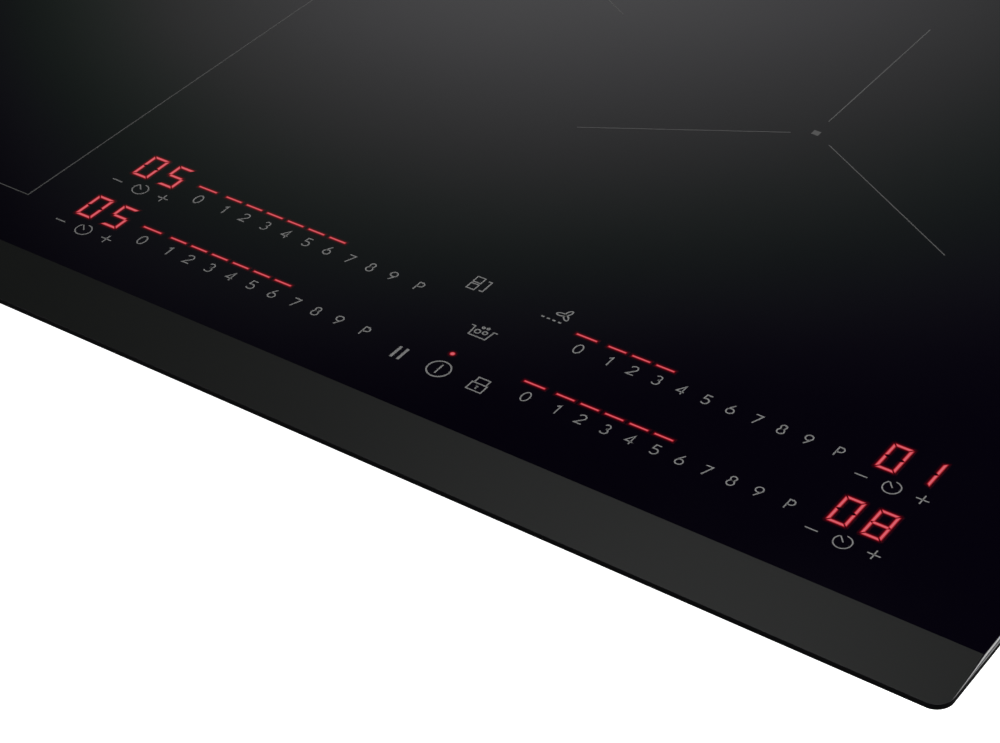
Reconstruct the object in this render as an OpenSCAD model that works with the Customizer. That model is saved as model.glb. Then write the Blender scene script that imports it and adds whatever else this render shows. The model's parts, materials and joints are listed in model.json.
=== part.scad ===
// Built-in induction cooktop, millimetres.
// The origin is under the middle of the glass, at the lowest face of the case.
// +X runs to the right, +Y to the back and +Z up. The glass top is at overall_h.

/* [Glass] */
// Width of the glass, left to right
glass_w = 780; // [770:1:800]
// Depth of the glass, front to back
glass_d = 520; // [515:1:530]
// Thickness of the glass
glass_t = 4; // [4:0.5:5]
// Radius of the glass's corners in plan
glass_corner_r = 8; // [4:1:12]
// Rounding along the top edge of the glass
glass_edge_r = 1.5; // [0.5:0.1:2]
// Width of the ground bevel along the front
bevel_w = 34; // [20:1:40]
// How far the bevel drops at the front edge
bevel_drop = 1.1; // [0.5:0.1:1.5]

/* [Case] */
// Overall height, from the case's floor to the glass top
overall_h = 44; // [44:1:50]
// Sheet steel thickness of the case
sheet_t = 0.8; // [0.6:0.1:1]
// Wall thickness of the mounting frame
frame_t = 1; // [0.8:0.1:1.2]
// Inset of the mounting frame from the glass edge
frame_inset = 19; // [18:1:21]
// Inset of the deep part of the case from the glass edge
deep_inset = 43; // [43:1:44]
// Height of the ledge between the shallow and the deep part of the case
ledge_z = 22; // [21:1:23]
// Thickness of the foam seal under the glass's edge
seal_t = 1; // [0.8:0.1:1]

/* [Controls] */
// Distance between two level keys
key_pitch = 12.5; // [12:0.1:13]
// Middle of the control panel, right of the glass's middle
panel_x = 107.5; // [100:0.5:110]
// Front row of level keys, behind the glass's front edge
front_row_inset = 70; // [68:0.5:74]
// Distance between the front and rear rows of keys
row_gap = 40.6; // [38:0.1:42]

/* [Coils] */
// Outer radius of the two left windings
left_coil_r = 92; // [86:1:93]
// Outer radius of the centre winding
centre_coil_r = 60; // [56:1:62]
// Outer radius of the right winding
right_coil_r = 112; // [104:1:113]
// How far a coil can be pushed down on its springs
coil_travel = 2.5; // [1:0.5:2.5]

/* [Fans] */
// Side of a square fan frame
fan_size = 80; // [76:1:82]
// Running clearance of the fan shafts, on the radius
shaft_gap = 0.03; // [0.02:0.01:0.08]

/* [Terminal box] */
// Width of the terminal box
terminal_w = 70; // [66:1:72]
// Clearance of the cover's trunnions, on the radius
trunnion_gap = 0.06; // [0.04:0.01:0.1]

/* [Hidden] */
$fn = 64;
eps = 0.01;
glass_z = overall_h - glass_t;
half_w = glass_w / 2;
half_d = glass_d / 2;
front_row_y = -half_d + front_row_inset;
rows_y = [front_row_y, front_row_y + row_gap];

// Heights inside the case
bond_t = 1;
flange_z = glass_z - bond_t - frame_t;
board_z = 6.6;
board_t = 1.6;
shield_z = 26.1;
shield_t = 1.5;
ferrite_t = 5;
former_t = 2;
wire_d = 4;
post_top_z = 14;
mat_t = 0.8;
mat_z = glass_z - mat_t;
seal_inset = 3;
seal_w = 10;
flange_w = 14;

// Level keys of one slider, left to right: 0, then 1 to 9, then the boost key
zero_gap = 16.1;
boost_gap = 14.95;
function key_x(k) = k == 0 ? 0 : k < 10 ? zero_gap + (k - 1) * key_pitch
                  : zero_gap + 8 * key_pitch + boost_gap;
sliders_x = [panel_x - 174.8, panel_x + 43.5];
timers_x = [panel_x - 204.1, panel_x + 204.1];
dash_ahead = 8.93;

// Coils: [x, y, winding outer radius, winding inner radius, ferrites]
left_front_coil = [-244, -88, left_coil_r, 24, 8];
left_rear_coil = [-244, 116, left_coil_r, 24, 8];
centre_rear_coil = [-52, 140, centre_coil_r, 20, 6];
right_coil = [150.6, 59.4, right_coil_r, 30, 10];
coils = [left_front_coil, left_rear_coil, centre_rear_coil, right_coil];

// Fans: [x, y]
front_fan = [-60, -75];
rear_fan = [-60, 15];
fans = [front_fan, rear_fan];

// Clips on the side walls: [side, y]
clip_y = 120;
clips = [for (side = [-1, 1], y = [-clip_y, clip_y]) [side, y]];

// Terminal box
terminal_x = 303;
terminal_rear_y = half_d - deep_inset - sheet_t;
terminal_front_y = terminal_rear_y - 66;
terminal_h = 28;
plastic_t = 2;
hinge_y = terminal_front_y + 5;
hinge_z = 2.6;
trunnion_r = 1.4;
inlet_z = 11;
inlet_r = 6;
inlet_wall_t = 3;
inlet_flange_w = 4.2;

// ---- Shared shapes ----

// A flat rectangle with round corners, centred
module rounded_rect(w, d, r) {
    square([w - 2 * r, d], center = true);
    square([w, d - 2 * r], center = true);
    for (x = [-1, 1], y = [-1, 1])
        translate([x * (w / 2 - r), y * (d / 2 - r)]) circle(r = r);
}

// A flat ring between two insets from the glass's edge
module inset_ring(outer, inner, r) {
    difference() {
        rounded_rect(glass_w - 2 * outer, glass_d - 2 * outer, r);
        square([glass_w - 2 * inner, glass_d - 2 * inner], center = true);
    }
}

// An open box: outer size less a hollow that starts above the floor
module tub(w, d, h, wall, floor_t) {
    difference() {
        translate([-w / 2, -d / 2, 0]) cube([w, d, h]);
        translate([wall - w / 2, wall - d / 2, floor_t])
            cube([w - 2 * wall, d - 2 * wall, h]);
    }
}

// A straight round bar from one height to another
module bar(x, y, z0, z1, r) {
    translate([x, y, z0]) cylinder(r = r, h = z1 - z0);
}

// ---- Glass and its bond ----

// Section of the glass's border, with the rounded top edge on the right
module border_section(w) {
    square([w, glass_t - glass_edge_r]);
    square([w - glass_edge_r, glass_t]);
    translate([w - glass_edge_r, glass_t - glass_edge_r]) circle(r = glass_edge_r);
}

// One straight border, centred on a side's middle and running along Y
module straight_border(length) {
    translate([0, length / 2, 0]) rotate([90, 0, 0])
        linear_extrude(height = length) border_section(glass_corner_r);
}

module glass_blank() {
    core_w = glass_w - 2 * glass_corner_r;
    core_d = glass_d - 2 * glass_corner_r;
    translate([-core_w / 2, -core_d / 2, 0]) cube([core_w, core_d, glass_t]);
    for (side = [0, 180]) rotate([0, 0, side]) {
        translate([core_w / 2, 0, 0]) straight_border(core_d);
        rotate([0, 0, 90]) translate([core_d / 2, 0, 0]) straight_border(core_w);
        for (y = [0, 1]) mirror([0, y, 0]) translate([core_w / 2, core_d / 2, 0])
            rotate_extrude(angle = 90) border_section(glass_corner_r);
    }
}

module glass_plate() {
    color([0.05, 0.05, 0.06]) translate([0, 0, glass_z]) difference() {
        glass_blank();
        // The front bevel is ground off as one long wedge
        translate([-half_w - 1, -half_d, 0]) rotate([90, 0, 90])
            linear_extrude(height = glass_w + 2)
                polygon([[bevel_w, glass_t], [0, glass_t - bevel_drop],
                         [-1, glass_t - bevel_drop], [-1, glass_t + 1], [bevel_w, glass_t + 1]]);
    }
}

// ---- Printed cooking-zone marks ----
mark_t = 0.05;
mark_w = 0.55;
mark_dot_w = 3.8;
mark_gap = 12.3;
flex_zone_w = 210;
flex_zone_d = 410;
flex_zone_y = 14;

// A square centre dot with three arms, a third of a turn apart, over a coil
module three_arm_mark(c, reach) {
    translate([c[0], c[1], overall_h]) linear_extrude(height = mark_t) {
        square(mark_dot_w, center = true);
        for (a = [90, 210, 330]) rotate([0, 0, a])
            translate([mark_gap, -mark_w / 2]) square([reach - mark_gap, mark_w]);
    }
}

module zone_marks() {
    color([0.45, 0.45, 0.45]) {
        translate([left_front_coil[0], flex_zone_y, overall_h]) linear_extrude(height = mark_t)
            difference() {
                square([flex_zone_w, flex_zone_d], center = true);
                square([flex_zone_w - 2 * mark_w, flex_zone_d - 2 * mark_w], center = true);
            }
        three_arm_mark(centre_rear_coil, centre_coil_r + 10);
        three_arm_mark(right_coil, right_coil_r + 5);
    }
}

module glass_seal() {
    color([0.12, 0.12, 0.12]) translate([0, 0, glass_z - seal_t])
        linear_extrude(height = seal_t) inset_ring(seal_inset, seal_inset + seal_w, glass_corner_r - 2);
}

module silicone_bond() {
    color([0.2, 0.2, 0.2]) translate([0, 0, glass_z - bond_t])
        linear_extrude(height = bond_t) inset_ring(frame_inset + 1, frame_inset + flange_w - 1, 3);
}

// Heat insulation glued under the cooking area, behind the controls
module insulation_mat() {
    side = frame_inset + flange_w + 3;
    front = rows_y[1] + 34;
    back = half_d - side;
    color([0.85, 0.82, 0.75]) translate([side - half_w, front, mat_z])
        cube([glass_w - 2 * side, back - front, mat_t]);
}

// ---- Frame and case ----
frame_wall_h = 14;
screw_r = 1.6;
screw_head_r = 3.4;
screw_z = flange_z - 5;
long_screws_x = [-300, -100, 100, 300];
side_screws_y = [-190, 0, 190];

// Places every case screw, its axis along +X pointing out of the case
module at_case_screws() {
    for (x = long_screws_x, s = [-1, 1])
        translate([x, s * (half_d - frame_inset), screw_z]) rotate([0, 0, s * 90]) children();
    for (y = side_screws_y, s = [-1, 1])
        translate([s * (half_w - frame_inset), y, screw_z]) rotate([0, 0, s > 0 ? 0 : 180]) children();
}

// Places one clip, its local +X pointing out of the case
module place_clip(c) {
    translate([c[0] * (half_w - frame_inset), c[1], 0]) rotate([0, 0, c[0] > 0 ? 0 : 180]) children();
}

module at_clips() {
    for (c = clips) place_clip(c) children();
}

clip_rivets_y = [-12, 12];
clip_rivet_z = 28.5;

module wall_drillings(depth) {
    at_case_screws() translate([-depth, 0, 0]) rotate([0, 90, 0]) cylinder(r = screw_r, h = depth + 1);
    at_clips() for (y = clip_rivets_y) translate([-depth, y, clip_rivet_z])
        rotate([0, 90, 0]) cylinder(r = screw_r, h = depth + 1);
}

module mounting_frame() {
    wall_z = flange_z + frame_t - frame_wall_h;
    color([0.3, 0.3, 0.31]) difference() {
        union() {
            translate([0, 0, flange_z]) linear_extrude(height = frame_t)
                inset_ring(frame_inset, frame_inset + flange_w, 2);
            translate([0, 0, wall_z]) linear_extrude(height = frame_wall_h)
                inset_ring(frame_inset, frame_inset + frame_t, 2);
        }
        wall_drillings(frame_t + 1);
    }
}

vent_w = 3.4;
vent_h = 11;
vent_z = 6;
vent_step = 7;
grille_slots = 9;
grille_step = 8;
case_corner_r = 4;
case_gap = 0.2;
weld_flange_w = 4;
bead_w = 9;
bead_rise = 1.2;

// Stiffening beads pressed up into the floor: [middle x, middle y, length, angle]
floor_beads = [
    [-220, -163, 170, 0], [-220, 14, 170, 0], [35, -165, 230, 0], [120, -50, 220, 0],
    [150, 59.4, 150, 0], [110, 158, 220, 0], [297, 15, 210, 90], [252, -165, 110, 0]
];

// A slot's outline: straight sides and round ends, centred
module slot_outline(length, w) {
    square([length - w, w], center = true);
    for (s = [-1, 1]) translate([s * (length - w) / 2, 0]) circle(d = w);
}

// Every bead's outline, grown by a wall
module bead_outlines(grow) {
    for (b = floor_beads) translate([b[0], b[1]]) rotate([0, 0, b[3]])
        slot_outline(b[2] + 2 * grow, bead_w + 2 * grow);
}

// A row of upright slots through a wall, for the cooling air
module wall_vents(y, x0, x1) {
    for (x = [x0 : vent_step : x1])
        translate([x, y - 2, vent_z]) cube([vent_w, 4, vent_h]);
}

// Round intake grille under a fan: round-ended slots on both sides of a rib
module fan_grille(f) {
    reach = fan_size / 2 - 4;
    rib = 1.5;
    for (i = [-(grille_slots - 1) / 2 : (grille_slots - 1) / 2], s = [-1, 1]) {
        half = sqrt(reach * reach - i * i * grille_step * grille_step);
        translate([f[0] + s * (half + rib) / 2, f[1] + i * grille_step, -1])
            linear_extrude(height = 3) slot_outline(half - rib, vent_w);
    }
}

// Outline of the case at two levels, stepped in from its outer face
module shallow_outline(inset) {
    rounded_rect(glass_w - 2 * (frame_inset + frame_t + case_gap + inset),
                 glass_d - 2 * (frame_inset + frame_t + case_gap + inset),
                 max(case_corner_r - inset, 1));
}

module deep_outline(inset) {
    rounded_rect(glass_w - 2 * (deep_inset + inset), glass_d - 2 * (deep_inset + inset),
                 max(case_corner_r - inset, 1));
}

// Sheet with pressed beads, the fan grilles and an opening for the terminal box
module base_plate() {
    color([0.62, 0.64, 0.66]) difference() {
        union() {
            linear_extrude(height = sheet_t) deep_outline(0);
            linear_extrude(height = sheet_t + bead_rise) bead_outlines(sheet_t);
        }
        translate([0, 0, -1]) linear_extrude(height = 1 + bead_rise) bead_outlines(0);
        for (f = fans) fan_grille(f);
        translate([terminal_x - terminal_w / 2 + plastic_t, terminal_front_y + plastic_t, -1])
            cube([terminal_w - 2 * plastic_t, terminal_rear_y - terminal_front_y - 2 * plastic_t, 3]);
    }
}

// Stepped walls, which a narrow flange joins to the base plate by spot welds
module case_walls() {
    color([0.62, 0.64, 0.66]) difference() {
        union() {
            translate([0, 0, ledge_z]) linear_extrude(height = flange_z - ledge_z - 0.1)
                shallow_outline(0);
            translate([0, 0, sheet_t]) linear_extrude(height = ledge_z - sheet_t + eps) deep_outline(0);
        }
        translate([0, 0, ledge_z + sheet_t]) linear_extrude(height = overall_h) shallow_outline(sheet_t);
        translate([0, 0, 2 * sheet_t]) linear_extrude(height = overall_h) deep_outline(sheet_t);
        linear_extrude(height = overall_h) deep_outline(sheet_t + weld_flange_w);
        wall_drillings(frame_t + 3);
        wall_vents(deep_inset - half_d, -300, 300);
        wall_vents(half_d - deep_inset, -300, 220);
        // Gap in the flange for the terminal box, and the cable inlet behind it
        translate([terminal_x - terminal_w / 2 - 1, terminal_rear_y - weld_flange_w - 1, 0])
            cube([terminal_w + 2, weld_flange_w + 1, 3]);
        translate([terminal_x, half_d - deep_inset + 1, inlet_z]) rotate([90, 0, 0])
            cylinder(r = inlet_r + inlet_wall_t, h = 4);
    }
}

module case_screws() {
    color([0.75, 0.75, 0.72]) at_case_screws() rotate([0, 90, 0]) {
        translate([0, 0, -5]) cylinder(r = screw_r, h = 5);
        difference() {
            cylinder(r = screw_head_r, h = 1.8);
            for (a = [0, 90]) rotate([0, 0, a]) translate([-2, -0.4, 1]) cube([4, 0.8, 1]);
        }
    }
}

// ---- Coils ----
former_z = shield_z + shield_t + ferrite_t;
winding_z = former_z + former_t + wire_d / 2;
spring_r = 4.5;
guide_pin_r = 2;
guide_pin_z = 12;
guide_pin_room = 1.5;
post_hole_z = guide_pin_z - coil_travel - guide_pin_room;
post_r = 6;
posts_per_coil = 4;

// A coil's posts stand at the corners of a square under its shield
module at_posts(c) {
    for (i = [0 : posts_per_coil - 1])
        rotate([0, 0, 45 + 90 * i]) translate([c[2] * 0.72, 0, 0]) children();
}

// The turns of wire, one beside the other, bonded by a thin layer of varnish
module winding(c) {
    turns = floor((c[2] - c[3]) / wire_d);
    color([0.72, 0.40, 0.20]) translate([c[0], c[1], winding_z]) rotate_extrude() {
        for (i = [0 : turns - 1])
            translate([c[3] + wire_d * (i + 0.5), 0]) circle(d = wire_d - 0.1, $fn = 32);
        translate([c[3] + wire_d / 2, -0.6]) square([wire_d * (turns - 1), 1.2]);
    }
}

module former(c) {
    hub_r = c[3] - 0.5;
    rim_r = c[2] + 3;
    ferrite_in = c[3] + 4;
    color([0.16, 0.16, 0.17]) translate([c[0], c[1], former_z]) difference() {
        union() {
            cylinder(r = rim_r, h = former_t);
            cylinder(r = hub_r, h = former_t + wire_d);
            // Rim that holds the outermost turn
            rotate_extrude() translate([c[2] + 0.5, 0]) square([2.5, former_t + wire_d * 0.7]);
            // Guides beside each ferrite
            for (i = [0 : c[4] - 1], s = [-1, 1]) rotate([0, 0, 360 / c[4] * i])
                translate([ferrite_in, s * 7.6 - 0.6, -ferrite_t + 0.2])
                    cube([c[2] - ferrite_in, 1.2, ferrite_t]);
        }
        translate([0, 0, -1]) cylinder(r = hub_r - 2.5, h = former_t + wire_d + 2);
        for (i = [0 : c[4] - 1]) rotate([0, 0, 360 / c[4] * (i + 0.5)])
            translate([c[2] * 0.66, 0, -1]) cylinder(r = c[2] * 0.11, h = former_t + 2);
    }
}

module ferrites(c) {
    first = c[3] + 4;
    color([0.22, 0.22, 0.23]) translate([c[0], c[1], shield_z + shield_t])
        for (i = [0 : c[4] - 1]) rotate([0, 0, 360 / c[4] * i])
            translate([first, -6.8, 0]) cube([c[2] - first, 13.6, ferrite_t]);
}

module shield(c) {
    color([0.80, 0.81, 0.82]) translate([c[0], c[1], shield_z]) {
        difference() {
            cylinder(r = c[2] + 2, h = shield_t);
            translate([0, 0, -1]) cylinder(r = c[3] - 6, h = shield_t + 2);
        }
        // Guide pins that run in the posts
        at_posts(c) translate([0, 0, guide_pin_z - shield_z])
            cylinder(r = guide_pin_r, h = shield_z - guide_pin_z + eps);
    }
}

// Temperature sensor in its sleeve, held by a bridge across the hub
module sensor(c) {
    reach = c[3] - 3.3;
    color([0.9, 0.9, 0.86]) translate([c[0], c[1], former_z]) {
        translate([-reach, -2.5, 0]) cube([2 * reach, 5, former_t]);
        cylinder(r = 6, h = former_t + wire_d);
    }
}

// Helical springs between the posts and the shield, as plain sleeves
module springs(c) {
    color([0.7, 0.7, 0.72]) translate([c[0], c[1], 0]) at_posts(c) difference() {
        translate([0, 0, post_top_z]) cylinder(r = spring_r, h = shield_z - post_top_z - 0.1);
        cylinder(r = spring_r - 1, h = overall_h);
    }
}

module coil_posts() {
    color([0.85, 0.85, 0.8]) for (c = coils) translate([c[0], c[1], 0]) at_posts(c) difference() {
        translate([0, 0, sheet_t]) cylinder(r = post_r, h = post_top_z - sheet_t);
        translate([0, 0, post_hole_z]) cylinder(r = guide_pin_r + 0.5, h = post_top_z);
    }
}

// ---- Power electronics ----
// Boards: [x0, y0, x1, y1]
boards = [[-330, -196, -114, 200], [-12, -112, 244, 190], [256, -112, 338, 136]];
heatsinks_x = [-148, -10];
heatsink_w = 36;
heatsink_y = [-112, 58];
heatsink_base_z = 12;

module power_boards() {
    color([0.08, 0.33, 0.16]) difference() {
        for (b = boards) translate([b[0], b[1], board_z]) cube([b[2] - b[0], b[3] - b[1], board_t]);
        for (c = coils) translate([c[0], c[1], 0]) at_posts(c) cylinder(r = post_r + 1.5, h = overall_h);
    }
}

module board_standoffs() {
    color([0.9, 0.9, 0.88]) for (b = boards, x = [b[0] + 6, b[2] - 6], y = [b[1] + 6, b[3] - 6])
        bar(x, y, sheet_t, board_z, 3);
}

// Moulded posts: the hollow ones guide the coils, the thin ones carry the boards
module nylon_supports() {
    coil_posts();
    board_standoffs();
}

// Comb-shaped extrusion along Y, fins up
module heatsinks() {
    fins = 8;
    fin_t = 1.6;
    pitch = (heatsink_w - fin_t) / (fins - 1);
    color([0.72, 0.73, 0.75]) for (x = heatsinks_x)
        translate([x, heatsink_y[1], heatsink_base_z]) rotate([90, 0, 0])
            linear_extrude(height = heatsink_y[1] - heatsink_y[0]) {
                square([heatsink_w, 4]);
                for (i = [0 : fins - 1]) translate([i * pitch, 0]) square([fin_t, 21]);
            }
}

// Switching transistors and the bridge rectifier, clamped under the heatsinks' bases
module power_transistors() {
    count = 6;
    span = heatsink_y[1] - heatsink_y[0] - 30;
    color([0.1, 0.1, 0.11]) for (x = heatsinks_x, i = [0 : count - 1])
        translate([x + heatsink_w / 2 - 8, heatsink_y[0] + 8 + i * span / (count - 1), board_z + board_t])
            cube([16, 20.5, heatsink_base_z - board_z - board_t]);
}

// Film capacitors that tune the coils and smooth the supply: [x, y, w, d, h]
capacitors = [
    [-300, -20, 26, 13, 14.5], [-300, 0, 26, 13, 14.5], [-300, 20, 26, 13, 14.5],
    [-268, 8, 26, 13, 14.5], [-236, 8, 26, 13, 14.5],
    [214, -96, 26, 14, 16], [214, -76, 26, 14, 16], [180, -96, 26, 14, 24], [180, -76, 26, 14, 24],
    [274, 60, 26, 16, 22], [306, 60, 26, 16, 22], [306, 36, 26, 16, 22]
];

module resonant_capacitors() {
    color([0.75, 0.62, 0.2]) for (c = capacitors)
        translate([c[0], c[1], board_z + board_t]) cube([c[2], c[3], c[4]]);
}

// Ring-core chokes lying on the boards: [x, y, outer radius, height]
choke_list = [[60, -88, 16, 11], [104, -88, 16, 11], [297, -76, 20, 16], [297, -24, 20, 16]];
choke_hole = 0.5;

module chokes() {
    color([0.65, 0.33, 0.15]) for (k = choke_list) translate([k[0], k[1], board_z + board_t]) difference() {
        cylinder(r = k[2], h = k[3]);
        translate([0, 0, -1]) cylinder(r = k[2] * choke_hole, h = k[3] + 2);
    }
}

// ---- Fans ----
fan_h = 15;
fan_hole_x = fan_size / 2 - 4.2;
fan_hole_r = 2.1;
fan_duct_r = fan_size / 2 - 2;
hub_cup_r = 15;
shaft_r = 1.5;
fan_base_z = sheet_t;

module fan_frame(f) {
    color([0.1, 0.1, 0.1]) translate([f[0], f[1], fan_base_z]) difference() {
        union() {
            difference() {
                linear_extrude(height = fan_h) rounded_rect(fan_size, fan_size, 4);
                translate([0, 0, -1]) cylinder(r = fan_duct_r, h = fan_h + 2);
            }
            // Motor seat on four arms, with the bearing sleeve in the middle
            cylinder(r = 14, h = 2);
            cylinder(r = 3.2, h = 9.5);
            for (a = [45 : 90 : 315]) rotate([0, 0, a])
                translate([12, -1.6, 0]) cube([fan_duct_r - 11.5, 3.2, 2]);
        }
        translate([0, 0, 1]) cylinder(r = shaft_r + shaft_gap, h = fan_h);
        for (x = [-1, 1], y = [-1, 1])
            translate([x * fan_hole_x, y * fan_hole_x, -1]) cylinder(r = fan_hole_r, h = fan_h + 2);
    }
}

module fan_rotor(f) {
    blades = 9;
    color([0.14, 0.14, 0.15]) translate([f[0], f[1], fan_base_z]) {
        // Cup over the stator, and its shaft
        difference() {
            translate([0, 0, 3]) cylinder(r = hub_cup_r, h = 10.5);
            translate([0, 0, 2]) cylinder(r = hub_cup_r - 1.6, h = 10);
        }
        translate([0, 0, 1.4]) cylinder(r = shaft_r, h = 12);
        intersection() {
            difference() {
                translate([0, 0, 3]) cylinder(r = fan_duct_r - 1.4, h = 10.5);
                cylinder(r = hub_cup_r - 0.5, h = fan_h);
            }
            for (i = [0 : blades - 1]) rotate([0, 0, 360 / blades * i])
                translate([hub_cup_r - 1, 0, 8.25]) rotate([38, 0, 0])
                    translate([0, -7.5, -0.6]) cube([fan_duct_r, 15, 1.2]);
        }
    }
}

module fan_stators() {
    color([0.72, 0.42, 0.2]) for (f = fans) translate([f[0], f[1], fan_base_z + 2]) difference() {
        union() {
            cylinder(r = 6, h = 6.5);
            for (a = [0 : 90 : 270]) rotate([0, 0, a]) translate([4, -3.5, 1]) cube([6.5, 7, 4.5]);
            for (a = [0 : 90 : 270]) rotate([0, 0, a]) intersection() {
                translate([0, 0, 2]) difference() {
                    cylinder(r = 12, h = 2.5);
                    translate([0, 0, -1]) cylinder(r = 10.2, h = 5);
                }
                translate([6, -6.5, 0]) cube([10, 13, 8]);
            }
        }
        translate([0, 0, -1]) cylinder(r = 3.2, h = 10);
    }
}

// ---- Control panel under the glass ----
control_w = 452;
control_d = 92;
control_y = (rows_y[0] + rows_y[1]) / 2 + 4;
control_board_z = 33;
carrier_z = control_board_z - 5;
carrier_wall_t = 1.6;
carrier_floor_t = 1.5;
leg_r = 4;
control_top_z = glass_z - 0.5;
icon_keys = [[-1.69, -0.36], [0.03, -0.357], [1.745, -0.378], [0.04, 2.19], [-1.73, 4.54], [1.75, 4.47]];
timer_key_y = -8.5;
timer_keys_x = [-14.5, 0, 14.2];

module control_carrier() {
    color([0.13, 0.13, 0.14]) translate([panel_x, control_y, 0]) {
        translate([0, 0, carrier_z])
            tub(control_w, control_d, control_top_z - carrier_z, carrier_wall_t, carrier_floor_t);
        // Ribs that carry the board
        for (x = [-180 : 60 : 180])
            translate([x - 0.8, -control_d / 2 + 1, carrier_z + 1]) cube([1.6, control_d - 2, 4]);
        // Legs down to the floor of the case
        for (x = [-control_w / 2 + 10, 70, control_w / 2 - 10], y = [-36, 30])
            bar(x, y, sheet_t, carrier_z + 0.1, leg_r);
    }
}

module control_board() {
    color([0.06, 0.28, 0.15]) translate([panel_x, control_y, control_board_z])
        linear_extrude(height = board_t) square([control_w - 4, control_d - 4], center = true);
}

// Parts that fill the space between the control board and the glass
module on_control_board() {
    foot_z = control_board_z + board_t;
    translate([0, 0, foot_z]) linear_extrude(height = control_top_z - foot_z) children();
}

// Two-digit modules above each timer key
module timer_displays() {
    color([0.55, 0.05, 0.05]) on_control_board() for (x = timers_x, y = rows_y)
        translate([x - 15.5, y - 1.5]) square([31, 20.5]);
}

// One red light bar ahead of every level key, and the round standby light
module level_light_bars() {
    bar_w = [10.6, 9.1];
    color([0.8, 0.08, 0.06]) on_control_board() {
        for (x = sliders_x, y = rows_y, k = [0 : 9])
            translate([x + key_x(k) - 1.5, y + dash_ahead]) square([bar_w[min(k, 1)], 1.2], center = true);
        translate([panel_x - 1, rows_y[0] + 7.6]) circle(r = 1.1);
    }
}

// Sprung contact pads that sense a finger through the glass
module touch_springs() {
    pad_r = 2.6;
    color([0.8, 0.78, 0.7]) on_control_board() {
        for (x = sliders_x, y = rows_y, k = [0 : 10]) translate([x + key_x(k), y]) circle(r = pad_r);
        for (x = timers_x, y = rows_y, k = timer_keys_x)
            translate([x + k, y + timer_key_y]) circle(r = pad_r);
        for (k = icon_keys)
            translate([panel_x + k[0] * key_pitch, rows_y[0] + k[1] * key_pitch]) circle(r = pad_r);
    }
}

// Flat cable from the control carrier to the right-hand power board
module ribbon_cable() {
    x = 120;
    y0 = control_y + control_d / 2;
    color([0.7, 0.7, 0.72]) translate([x, 0, 0]) {
        translate([0, y0 + 0.2, board_z + board_t]) cube([22, 0.8, 22]);
        translate([0, y0 + 0.2, board_z + board_t]) cube([22, 18, 0.8]);
        translate([-2, y0 + 14, board_z + board_t]) cube([26, 6, 7]);
    }
}

// ---- Mains connection ----
module at_terminal_box() {
    translate([terminal_x, (terminal_front_y + terminal_rear_y) / 2, sheet_t]) children();
}

module terminal_box() {
    d = terminal_rear_y - terminal_front_y;
    color([0.15, 0.15, 0.16]) difference() {
        at_terminal_box() translate([0, 0, terminal_h]) mirror([0, 0, 1])
            tub(terminal_w, d, terminal_h, plastic_t, plastic_t);
        translate([terminal_x, terminal_rear_y + 1, inlet_z]) rotate([90, 0, 0])
            cylinder(r = inlet_r + inlet_wall_t, h = 4);
        // Way out for the inner wires
        translate([terminal_x - 16, terminal_front_y - 1, 12]) cube([32, 4, 8]);
        // Seats of the cover's trunnions
        translate([terminal_x - terminal_w / 2 - 1, hinge_y, hinge_z]) rotate([0, 90, 0])
            cylinder(r = trunnion_r + trunnion_gap, h = terminal_w + 2);
    }
}

terminals = 5;
terminal_pitch = 10.5;
block_size = [terminals * terminal_pitch, 18, 15];
block_y = terminal_front_y + 31;
roof_z = sheet_t + terminal_h - plastic_t;

// Places each terminal, on the block's underside
module at_terminals() {
    for (i = [0 : terminals - 1]) {
        x = terminal_x + terminal_pitch * (i - (terminals - 1) / 2);
        translate([x, block_y, roof_z - block_size[2]]) children();
    }
}

module terminal_block() {
    color([0.82, 0.82, 0.78]) difference() {
        translate([terminal_x - block_size[0] / 2, block_y - block_size[1] / 2, roof_z - block_size[2]])
            cube(block_size);
        at_terminals() translate([0, 0, -1]) cylinder(r = 3, h = 8);
    }
}

module terminal_screws() {
    color([0.8, 0.7, 0.4]) at_terminals() translate([0, 0, 2.5]) difference() {
        cylinder(r = 2.6, h = 4.5);
        translate([-3, -0.4, -1]) cube([6, 0.8, 2]);
    }
}

// Cover that swings down on two trunnions, its outer face flush with the case
module terminal_cover() {
    w = terminal_w - 2 * plastic_t - 1;
    far_y = terminal_rear_y - plastic_t - 1;
    color([0.17, 0.17, 0.18]) {
        difference() {
            translate([terminal_x - w / 2, hinge_y, 0.6]) cube([w, far_y - hinge_y, 2]);
            // Finger notch
            translate([terminal_x, far_y, 0]) cylinder(r = 8, h = 4);
        }
        translate([terminal_x - w / 2, hinge_y, hinge_z]) rotate([0, 90, 0]) cylinder(r = 2, h = w);
        translate([terminal_x - w / 2 - 2, hinge_y, hinge_z]) rotate([0, 90, 0])
            cylinder(r = trunnion_r, h = w + 4);
        // Stiffening ribs inside
        for (x = [-24, 24])
            translate([terminal_x + x - 0.8, hinge_y + 6, 2.5]) cube([1.6, far_y - hinge_y - 18, 2.5]);
    }
}

// Bush that lines the cable's way through the case's wall and the terminal box
module cable_inlet() {
    color([0.1, 0.1, 0.1]) translate([terminal_x, half_d - deep_inset + 2.5, inlet_z]) rotate([90, 0, 0])
        difference() {
            union() {
                cylinder(r = inlet_r + inlet_wall_t, h = 10);
                cylinder(r = inlet_r + inlet_flange_w, h = 2.5);
            }
            translate([0, 0, -1]) cylinder(r = inlet_r, h = 12);
        }
}

// ---- Mounting clips ----
clip_w = 36;
clip_t = 0.8;
clip_root_x = 3;
clip_root_z = 24.2;

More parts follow.
